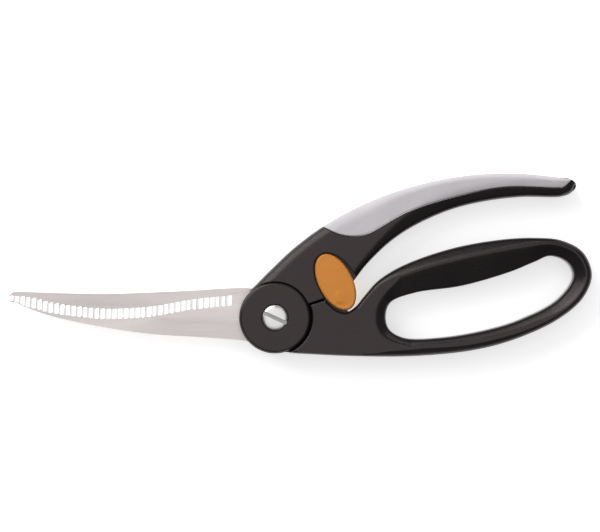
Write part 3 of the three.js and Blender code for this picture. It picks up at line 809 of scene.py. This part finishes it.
def front_cap():
    """Black disc under the screw's head, hollow behind for the spring."""
    low, high = cap_low.z, cap_high.z
    profile = rounded([
        (4.25, 15.65), (12.4, 15.65), (12.4, low), (SKIRT, low), (SKIRT, 16.4),
        (CAP_RADIUS, 16.7), (CAP_RADIUS, high), (5.8, high), (5.8, 16.45), (4.25, 16.45),
    ], {6: 1.25, 7: 0.25}, 8)
    return turned("pivot_disc_front", finely(profile), 128)


def rear_cap():
    """The disc on the rear, a plain plate."""
    low, high = (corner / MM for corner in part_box("rear_pivot_cap"))
    profile = rounded([
        (4.25, 3.4), (5.8, 3.4), (5.8, low.z), (CAP_RADIUS, low.z), (CAP_RADIUS, 1.8),
        (SKIRT, 2.1), (SKIRT, high.z), (4.25, high.z),
    ], {2: 0.25, 3: 1.25}, 8)
    return turned("pivot_disc_rear", finely(profile), 128)


def screw():
    """Domed screw with one slot."""
    low, high = screw_low.z, screw_high.z
    under_head, dome, chamfer, shank = 17.2, 0.85, 0.15, 2
    dome_steps = 12
    angles = [step / dome_steps * math.pi / 2 for step in range(dome_steps)]
    profile = [
        (0, low), (1.8, low), (shank, low + 0.3), (shank, under_head),
        (HEAD_RADIUS - chamfer, under_head), (HEAD_RADIUS, under_head + chamfer),
        *((HEAD_RADIUS * math.cos(a), high - dome + dome * math.sin(a)) for a in angles),
        (0, high),
    ]
    body = turned("pivot_screw_head", profile)
    half_long, half_wide, deep = 7, 0.8, 1.3
    turn = math.radians(-25)  # the way the slot points
    polygon = [tuple(rotate((x * half_long, y * half_wide), np.zeros(2), turn))
               for x, y in SQUARE]
    cutter = prism("slot", polygon, high - deep, high + 1)
    # The slot's faces take material slot 1, the darker steel painted as the slot's shade.
    cutter.data.polygons.foreach_set("material_index", [1] * len(cutter.data.polygons))
    return boolean(body, cutter)


def nut():
    """Blind nut: a flat head on the rear and a barrel inside."""
    low, high = (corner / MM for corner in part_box("pivot_nut"))
    profile = rounded([
        (0, low.z), (HEAD_RADIUS, low.z), (HEAD_RADIUS, 2.4), (4, 2.4), (4, high.z),
        (2.25, high.z), (2.25, 2.4), (0, 2.4),
    ], {1: 0.35}, 5)
    return turned("pivot_nut_body", profile)


def spring():
    """Torsion spring: a helix with a leg in each handle, as a closed round wire."""
    wire, coil, low, high, end = 0.55, 9.0, 12.7, 14.9, 19.0
    loop_leg, lever_leg = math.radians(-20), math.radians(75)
    wound = loop_leg - (lever_leg - 4 * math.pi)
    around, leg_steps, coil_steps = 12, 12, 180
    route = [(end + (coil - end) * k / leg_steps, loop_leg, low) for k in range(leg_steps)]
    for t in (k / coil_steps for k in range(coil_steps + 1)):
        route.append((coil, loop_leg - wound * t, low + (high - low) * t))
    route += [(coil + (end - coil) * k / leg_steps, lever_leg, high)
              for k in range(1, leg_steps + 1)]
    path = np.array([(r * math.cos(a), r * math.sin(a), z) for r, a, z in route])
    way = np.gradient(path, axis=0)
    way /= np.linalg.norm(way, axis=1)[:, None]
    side = np.cross(way, (0, 0, 1.0))
    side /= np.linalg.norm(side, axis=1)[:, None]
    up = np.cross(side, way)
    angles = [2 * math.pi * k / around for k in range(around)]
    return loft("return_spring", [
        [tuple(p + wire * (math.cos(a) * s + math.sin(a) * u)) for a in angles]
        for p, s, u in zip(path, side, up)
    ])


def button_top(q):
    """The oval's crowned face, with a low thumb ridge that is steep on its left."""
    crowned, ridge_high = 0.45, 0.4
    centre = q - OVAL_CENTRE
    c, s = math.cos(OVAL_TILT), math.sin(OVAL_TILT)
    u = (centre[:, 0] * c + centre[:, 1] * s) / OVAL_LONG
    v = (-centre[:, 0] * s + centre[:, 1] * c) / OVAL_SHORT
    crown = crowned * (u**2 + v**2)
    line = 26.3 + 0.05 * (q[:, 1] - 9)
    across = ease(q[:, 0] - line, -0.2, 0.2) * (1 - ease(q[:, 0] - line, 0.5, 7))
    along = ease(q[:, 1], 5.2, 7.2) * (1 - ease(q[:, 1], 9.4, 12.2))
    return -crown + ridge_high * across * along


def front_button():
    """The oval that the thumb moves, with a thin lip round its face."""
    outline = oval(count=128)
    lip_high = 0.14

    def inside(q):
        return within(q, outline)

    def height(q):
        border = away(q, loop_of(outline))
        lip = lip_high * (1 - ease(border, 1.0, 1.5))
        face = button_high.z - lip_high + button_top(q)
        return face + lip - rounding(border, across=1.0, deep=1.3)

    return relief(inside, [loop_of(outline)], height, button_low.z,
                  rings=RINGS[:8], grid=0.5)


def rear_button():
    """The plainer oval on the rear, with a hole for the lock's screw."""
    outline = oval(count=128)
    angles = np.linspace(0, 2 * math.pi, 40)[:-1]
    hole = LOCK_AXLE + 2.4 * np.column_stack([np.cos(angles), np.sin(angles)])

    def inside(q):
        return within(q, outline) & ~within(q, hole)

    def height(q):
        edge = rounding(away(q, loop_of(outline)), across=1.3, deep=1.3)
        rim = rounding(away(q, loop_of(hole)), across=0.3, deep=0.25)
        crown = 0.001 * ((q - OVAL_CENTRE) ** 2).sum(1)
        return THICKNESS - rear_button_low.z - edge - rim - crown

    plate = relief(inside, [loop_of(outline), loop_of(hole)], height,
                   THICKNESS - rear_button_high.z, rings=RINGS[:8], grid=0.7)
    return mirrored(plate)


# ---- materials


class Shader:
    """A Principled material and the few node chains that the materials here share.

    An input is named as in Blender, with _ for a space. It takes a value or another's output.
    """

    def __init__(self, name, color, roughness, metallic=0.0, **inputs):
        self.material = bpy.data.materials.new(name)
        self.material.use_nodes = True
        self.nodes = self.material.node_tree.nodes
        self.links = self.material.node_tree.links
        self.principled = self.nodes["Principled BSDF"]
        self.feed(self.principled, Base_Color=color, Roughness=roughness, Metallic=metallic,
                  **inputs)
        self.place = self.node("TexCoord").outputs["Object"]
        self.bumped = None

    def connect(self, socket, value):
        if isinstance(value, bpy.types.NodeSocket):
            self.links.new(value, socket)
        elif socket.type == "RGBA" and len(value) == 3:
            socket.default_value = (*value, 1)
        else:
            socket.default_value = value

    def feed(self, node, **inputs):
        for name, value in inputs.items():
            self.connect(node.inputs[name.replace("_", " ")], value)

    def node(self, kind, **inputs):
        made = self.nodes.new("ShaderNode" + kind)
        self.feed(made, **inputs)
        return made

    def use(self, socket, value):
        self.connect(self.principled.inputs[socket], value)

    def stretched(self, scale, turn=0.0):
        """Object coordinates scaled by a different factor along each axis."""
        mapping = self.node("Mapping", Vector=self.place, Scale=scale, Rotation=(0, 0, turn))
        return mapping.outputs["Vector"]

    def noise(self, scale, detail=2.0, vector=None, rough=0.5):
        return self.node("TexNoise", Scale=scale, Detail=detail, Roughness=rough,
                         Vector=vector or self.place).outputs["Fac"]

    def ramp(self, value, dark, light):
        """A colour that runs from dark to light as the value goes from 0.3 to 0.7."""
        node = self.node("ValToRGB", Fac=value)
        for stop, position, color in zip(node.color_ramp.elements, (0.3, 0.7), (dark, light)):
            stop.position = position
            stop.color = (*color, 1)
        return node.outputs["Color"]

    def mapped(self, value, low, high, from_low=0.3, from_high=0.7):
        return self.node("MapRange", Value=value, From_Min=from_low, From_Max=from_high,
                         To_Min=low, To_Max=high).outputs["Result"]

    def math(self, operation, a, b):
        node = self.node("Math")
        node.operation = operation
        self.connect(node.inputs[0], a)
        self.connect(node.inputs[1], b)
        return node.outputs[0]

    def mix(self, factor, a, b):
        node = self.node("Mix", Factor=factor)
        node.data_type = "RGBA"
        self.connect(node.inputs[6], a)
        self.connect(node.inputs[7], b)
        return node.outputs[2]

    def edges(self, low=0.505, high=0.56):
        """Where the surface bends outwards: a mask for worn edges, and for a painted highlight along
        a rim.
        """
        bend = self.node("NewGeometry").outputs["Pointiness"]
        return self.mapped(bend, 0, 1, low, high)

    def bump(self, value, strength, distance):
        """Adds a bump. Distance is the height of the relief in metres."""
        node = self.node("Bump", Strength=strength, Distance=distance, Height=value)
        if self.bumped:
            self.connect(node.inputs["Normal"], self.bumped)
        self.bumped = node.outputs["Normal"]
        self.use("Normal", self.bumped)


def black_plastic():
    """Glass-filled nylon with a fine spark-eroded grain, rubbed smoother along the edges."""
    s = Shader("black_moulded_nylon", (0.012, 0.0105, 0.011), 0.4,
               Specular_Tint=(1, 0.84, 0.86, 1), Specular_IOR_Level=0.45)
    cloud = s.noise(38, 4)
    tone = s.ramp(cloud, (0.0105, 0.0088, 0.0092), (0.0155, 0.0130, 0.0135))
    worn = s.math("MULTIPLY", s.edges(), s.mapped(s.noise(160, 3), 0.1, 0.9))
    s.use("Base Color", s.mix(worn, tone, (0.022, 0.0195, 0.020)))
    fine = s.noise(5200, 2)
    scuffs = s.noise(900, 3, s.stretched((0.25, 1.6, 1), 0.6))
    rough = s.math("ADD", s.mapped(cloud, 0.26, 0.33), s.mapped(scuffs, -0.05, 0.05))
    s.use("Roughness", s.math("SUBTRACT", rough, s.math("MULTIPLY", worn, 0.1)))
    s.bump(fine, 0.35, 0.00006)
    s.bump(s.noise(1500, 1), 0.15, 0.00012)
    return s.material


def soft_grey():
    """Soft-touch elastomer: matte, faintly mottled, with a fine pebbled skin."""
    s = Shader("grey_soft_touch", (0.49, 0.455, 0.475), 0.72, Specular_IOR_Level=0.3,
               Sheen_Weight=0.12, Sheen_Roughness=0.6)
    cloud = s.noise(55, 5, rough=0.6)
    specks = s.noise(2600, 2)
    tone = s.ramp(cloud, (0.645, 0.605, 0.635), (0.71, 0.67, 0.70))
    dust = s.mapped(specks, 0, 0.35, 0.56, 0.72)
    grime = s.math("MULTIPLY", s.mapped(s.noise(300, 4), 0, 1, 0.5, 0.75), dust)
    s.use("Base Color", s.mix(grime, tone, (0.56, 0.525, 0.54)))
    s.use("Roughness", s.mapped(cloud, 0.66, 0.8))
    s.bump(specks, 0.4, 0.00007)
    pebbles = s.node("TexVoronoi", Scale=1400, Vector=s.place).outputs["Distance"]
    s.bump(pebbles, 0.15, 0.00008)
    return s.material


def orange_plastic():
    """Satin orange moulding, paler along the rim as a painted highlight where the rounded edge
    catches light.
    """
    s = Shader("orange_moulded_plastic", (0.565, 0.225, 0.058), 0.38, Specular_IOR_Level=0.45,
               Subsurface_Weight=0.05, Subsurface_Radius=(0.002, 0.0008, 0.0003))
    cloud = s.noise(70, 4)
    tone = s.ramp(cloud, (0.71, 0.243, 0.0195), (0.77, 0.272, 0.0265))
    # rim: paler orange along the rounded edge, a painted highlight.
    rim = s.math("MULTIPLY", s.edges(0.51, 0.6), 0.5)
    s.use("Base Color", s.mix(rim, tone, (0.68, 0.34, 0.13)))
    s.use("Roughness", s.mapped(s.noise(240, 3), 0.32, 0.45))
    s.bump(s.noise(4200, 2), 0.3, 0.00005)
    return s.material


def satin_steel():
    """Stainless sheet with a fine cross-ground satin finish and a few light scratches."""
    s = Shader("satin_blade_steel", (0.60, 0.575, 0.57), 0.34, 1.0, Anisotropic=0.5)
    lines = s.noise(900, 4, s.stretched((0.05, 2.6, 0.3)), 0.65)
    long = s.noise(260, 3, s.stretched((0.06, 1.2, 0.3)), 0.55)
    cloud = s.noise(30, 3)
    tone = s.ramp(long, (0.575, 0.528, 0.517), (0.625, 0.58, 0.568))
    scratch = s.mapped(s.noise(420, 2, s.stretched((0.05, 2.4, 1), 0.35)), 0, 0.35, 0.68, 0.78)
    s.use("Base Color", s.mix(scratch, tone, (0.74, 0.72, 0.71)))
    rough = s.math("ADD", s.mapped(lines, 0.28, 0.42), s.mapped(cloud, -0.03, 0.03))
    s.use("Roughness", rough)
    s.bump(lines, 0.22, 0.00003)
    s.bump(cloud, 0.05, 0.0004)
    return s.material


def ground_steel_lit(name, roughness):
    """Freshly ground bevel with grinding lines along the wheel's path; its brighter colour is a
    painted highlight for the light the band reflects.
    """
    s = Shader(name, (0.76, 0.75, 0.745), roughness, 1.0)
    lines = s.noise(1400, 3, s.stretched((3.0, 0.05, 0.2)), 0.6)
    # These pale colours are a painted highlight, paler than the steel's own.
    tone = s.ramp(lines, (0.78, 0.77, 0.765), (0.93, 0.92, 0.915))
    s.use("Base Color", tone)
    s.use("Roughness", s.mapped(lines, roughness - 0.07, roughness + 0.08))
    s.bump(lines, 0.2, 0.00002)
    return s.material


def turned_steel():
    """Bright turned steel with concentric tool marks round the pivot."""
    s = Shader("bright_turned_steel", (0.68, 0.67, 0.66), 0.26, 1.0)
    wave = s.node("TexWave", Scale=700, Distortion=0.6, Detail=2, Vector=s.place)
    wave.wave_type = "RINGS"
    wave.rings_direction = "Z"
    rings = wave.outputs["Fac"]
    handling = s.noise(600, 4)
    s.use("Base Color", s.ramp(handling, (0.62, 0.61, 0.60), (0.74, 0.73, 0.72)))
    s.use("Roughness", s.math("ADD", s.mapped(handling, 0.2, 0.32), s.mapped(rings, 0, 0.05)))
    s.bump(rings, 0.12, 0.00002)
    return s.material


def slot_shade_steel():
    """Rough steel in the bottom of a screwdriver slot, coloured darker as painted shade in the
    recess, with a little dirt.
    """
    s = Shader("slot_steel_painted_shade", (0.36, 0.355, 0.34), 0.5, 1.0)
    dirt = s.noise(500, 5)
    # The dark colours are painted shade for the slot's recess, mottled by a little dirt.
    s.use("Base Color", s.ramp(dirt, (0.33, 0.325, 0.31), (0.52, 0.515, 0.50)))
    s.use("Roughness", s.mapped(dirt, 0.42, 0.6))
    s.bump(s.noise(1800, 3), 0.3, 0.00004)
    return s.material


def drawn_wire():
    """Spring and strip steel: darker, with long drawing lines and a trace of oil."""
    s = Shader("drawn_spring_steel", (0.36, 0.355, 0.36), 0.33, 1.0, Coat_Weight=0.15,
               Coat_Roughness=0.2)
    lines = s.noise(700, 3, s.stretched((1, 1, 3)))
    s.use("Base Color", s.ramp(lines, (0.21, 0.205, 0.21), (0.32, 0.315, 0.31)))
    s.use("Roughness", s.mapped(lines, 0.26, 0.42))
    s.bump(lines, 0.2, 0.00003)
    return s.material


def natural_nylon():
    """Unpigmented nylon."""
    s = Shader("natural_nylon", (0.70, 0.66, 0.57), 0.45, Subsurface_Weight=0.2,
               Subsurface_Radius=(0.003, 0.002, 0.001))
    cloud = s.noise(120, 4)
    s.use("Base Color", s.ramp(cloud, (0.66, 0.62, 0.53), (0.74, 0.70, 0.61)))
    s.use("Roughness", s.mapped(cloud, 0.38, 0.54))
    s.bump(s.noise(2400, 2), 0.3, 0.00005)
    return s.material


def floor_paper():
    """Pale seamless paper."""
    s = Shader("studio_paper", (0.90, 0.90, 0.90), 0.85, Specular_IOR_Level=0.1,
               Emission_Color=(1, 1, 1, 1), Emission_Strength=FLOOR_GLOW)
    cloud = s.noise(14, 5)
    s.use("Base Color", s.ramp(cloud, (0.895, 0.895, 0.895), (0.915, 0.915, 0.915)))
    s.bump(s.noise(1800, 3), 0.1, 0.0001)
    return s.material


# ---- the pieces


def place(obj, body, slot, materials, *nodes, angle=35):
    """Gives a piece its materials and shading and its body, and hides the nodes it stands for. The
    slot argument is not used.
    """
    mesh = obj.data
    slots = np.zeros(len(mesh.polygons), np.int32)
    mesh.polygons.foreach_get("material_index", slots)
    mesh.materials.clear()
    for material in materials:
        mesh.materials.append(material)
    mesh.polygons.foreach_set("material_index", np.minimum(slots, len(materials) - 1))
    finish_shading(obj, angle)
    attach(obj, body)
    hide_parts(*nodes)
    return obj


BLACK, GREY, ORANGE = black_plastic(), soft_grey(), orange_plastic()
# The teeth's and the bevel's steel is coloured brighter as a painted highlight.
SATIN, TEETH = satin_steel(), ground_steel_lit("ground_teeth_steel_lit", 0.38)
BEVELLED = ground_steel_lit("ground_bevel_steel_lit", 0.24)
BRIGHT, SPRING, NYLON = turned_steel(), drawn_wire(), natural_nylon()
# Darker steel for the screw's slot: painted shade in the recess.
SLOT_SHADE = slot_shade_steel()


def make_lever():
    front, rear = lever_plate(True), lever_plate(False)
    lever = joined("thumb_lever", [front, rear])
    # The room that the lock's hook needs inside the handles, here and in the loop.
    way = prism("hook_way", [(18.7, 20.5), (27, -3), (38, -3), (28.5, 24)], 7.7, 10.3)
    boolean(lever, way)
    place(lever, "lever_half", "black_plastic", [BLACK], "upper_handle")
    half = grip_plate()
    grip = joined("soft_inlay", [half, mirrored(half)])
    place(grip, "lever_half", "grey_softgrip", [GREY], "upper_grip")


def seam_lips():
    """Lips that close the seam and the gap round the front disc, and shelves under the ovals."""
    root, tip = parting_line(-2 * HALF_GAP), parting_line(0.9 * HALF_GAP)
    end_x, slant = 22.3, 1.3  # a lip is thinner at its tip by the slant on either side
    lips = []
    for wall, bottom, top in ((FIXED_WALL - 1.2, 2.5, 8.9), (MOVING_WALL, 8.5, 14)):
        keep = (np.hypot(*root.T) > wall) & (root[:, 0] < end_x)
        lip = prism("lip", np.vstack([root[keep], tip[keep][::-1]]), bottom, top)
        count = int(keep.sum())
        for k in range(count, 2 * count):
            lip.data.vertices[k].co.z += slant * MM
            lip.data.vertices[k + 2 * count].co.z -= slant * MM
        lips.append(lip)
    section = ((16.5, 15.9), (15.5, 14.7), (16.5, 14.0))
    lips.append(loft("gap_lip", [
        [(radius * math.cos(a), radius * math.sin(a), z) for radius, z in section]
        for a in np.radians(np.linspace(-66, 22.2, 60))
    ]))
    shelf = [(21, 5.5), (26.6, 1.5), (30.7, 1), (31.6, 2.9), (29.8, 4.1), (27, 5.1), (24.2, 7.2),
             (22.6, 8.1), (21, 7.6)]
    return [*lips, prism("shelf", shelf, 11.2, 14.6), prism("shelf", shelf, 3.4, 6.8)]


def make_loop():
    loop = joined("finger_loop", [loop_plate(True), loop_plate(False)])
    for lip in seam_lips():
        boolean(loop, lip, "UNION")
    slot = prism("hook_slot", [(26.8, -6.2), (38.2, -6.2), (38.2, 14), (26.8, 14)], 7.6, 10.4)
    boolean(loop, slot)
    place(loop, "loop_half", "black_plastic", [BLACK], "lower_handle")


def make_blades():
    front = with_boss(front_blade(), *FRONT_Z)
    place(front, "lever_half", "blade_steel", [SATIN, TEETH, BEVELLED], "lower_blade", angle=24)
    rear = with_boss(rear_blade(), *REAR_Z)
    place(rear, "loop_half", "blade_steel", [SATIN, TEETH, BEVELLED], "upper_blade", angle=24)


def make_pivot():
    place(front_cap(), "lever_half", "black_plastic", [BLACK], "front_pivot_cap", angle=40)
    place(rear_cap(), "loop_half", "black_plastic", [BLACK], "rear_pivot_cap", angle=40)
    place(screw(), "loop_half", "bright_steel", [BRIGHT, SLOT_SHADE], "pivot_screw", angle=30)
    place(nut(), "loop_half", "bright_steel", [BRIGHT], "pivot_nut", angle=30)
    coil = spring()
    coil.data.materials.append(SPRING)
    finish_shading(coil, 60)
    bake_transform(coil)
    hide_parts("torsion_spring")


def make_lock():
    front = joined("lock_oval_front", [front_button()])
    place(front, "lock", "orange_plastic", [ORANGE], "lock_front_button")
    rear = joined("lock_oval_rear", [rear_button()])
    place(rear, "lock", "orange_plastic", [ORANGE], "lock_rear_button")


def dress_cad_nodes():
    """Inner pieces keep their CAD shape and get their own finish."""
    finishes = {
        "head_washer": BRIGHT, "spring_washer": SPRING, "spring_sleeve": NYLON,
        "lock_hook": SPRING, "lock_axle": BRIGHT, "lock_screw": BRIGHT, "lock_washer": SPRING,
        "catch_pin": BRIGHT,
    }
    for name, material in finishes.items():
        mesh = frame["nodes"][name].data
        mesh.materials.clear()
        mesh.materials.append(material)


# ---- camera, light and floor


# The camera and the lights are placed in metres. The floor is a mesh, so it is in millimetres.
FRAME_WIDTH = 0.2595  # what the picture's width covers at the object
VIEW_CENTRE = Vector((0.01077, 0.0223, 0.012))
LENS = 200.0
SENSOR = 36.0
FLOOR_HALF = 3000.0
FLOOR_Z = -0.2  # just under the shears
FLOOR_GLOW = 0.58  # keeps the background white
AMBIENT = 0.14  # strength of the world's light
# Each light's place, target, size and watts. The flats reflect the first, the lever's leaning
# band the second, and the teeth the third.
LIGHTS = {
    "overhead": ((0.01, 0.02, 1.9), (0.01, 0.02, 0), (1.9, 1.9), 11.5),
    "key": ((-0.75, 0.85, 0.95), (0, 0.02, 0), (1.1, 1.1), 12),
    "strip": ((-0.05, 1.5, 0.92), (-0.05, 0, 0), (3.0, 0.38), 6),
}


def make_camera():
    data = bpy.data.cameras.new("camera")
    data.lens = LENS
    data.sensor_width = SENSOR
    camera = linked("camera", data)
    camera.location = VIEW_CENTRE + Vector((0, 0, FRAME_WIDTH * LENS / SENSOR))
    bpy.context.scene.camera = camera


def make_light(name, place_at, target, size, watts):
    data = bpy.data.lights.new(name, "AREA")
    data.shape = "RECTANGLE"
    data.size, data.size_y = size
    data.energy = watts
    light = linked(name, data)
    light.location = place_at
    direction = Vector(target) - Vector(place_at)
    light.rotation_euler = direction.to_track_quat("-Z", "Y").to_euler()


def make_stage():
    floor = add_object("floor", [(x * FLOOR_HALF, y * FLOOR_HALF, FLOOR_Z) for x, y in SQUARE],
                       [(0, 1, 2, 3)])
    floor.data.materials.append(floor_paper())
    world = bpy.data.worlds.new("studio")
    bpy.context.scene.world = world
    world.use_nodes = True
    background = world.node_tree.nodes["Background"]
    background.inputs["Color"].default_value = (1, 1, 1, 1)
    background.inputs["Strength"].default_value = AMBIENT
    for name, setting in LIGHTS.items():
        make_light(name, *setting)
    bpy.context.scene.view_settings.view_transform = "Standard"


make_camera()
make_stage()
make_lever()
make_loop()
make_blades()
make_pivot()
make_lock()
dress_cad_nodes()
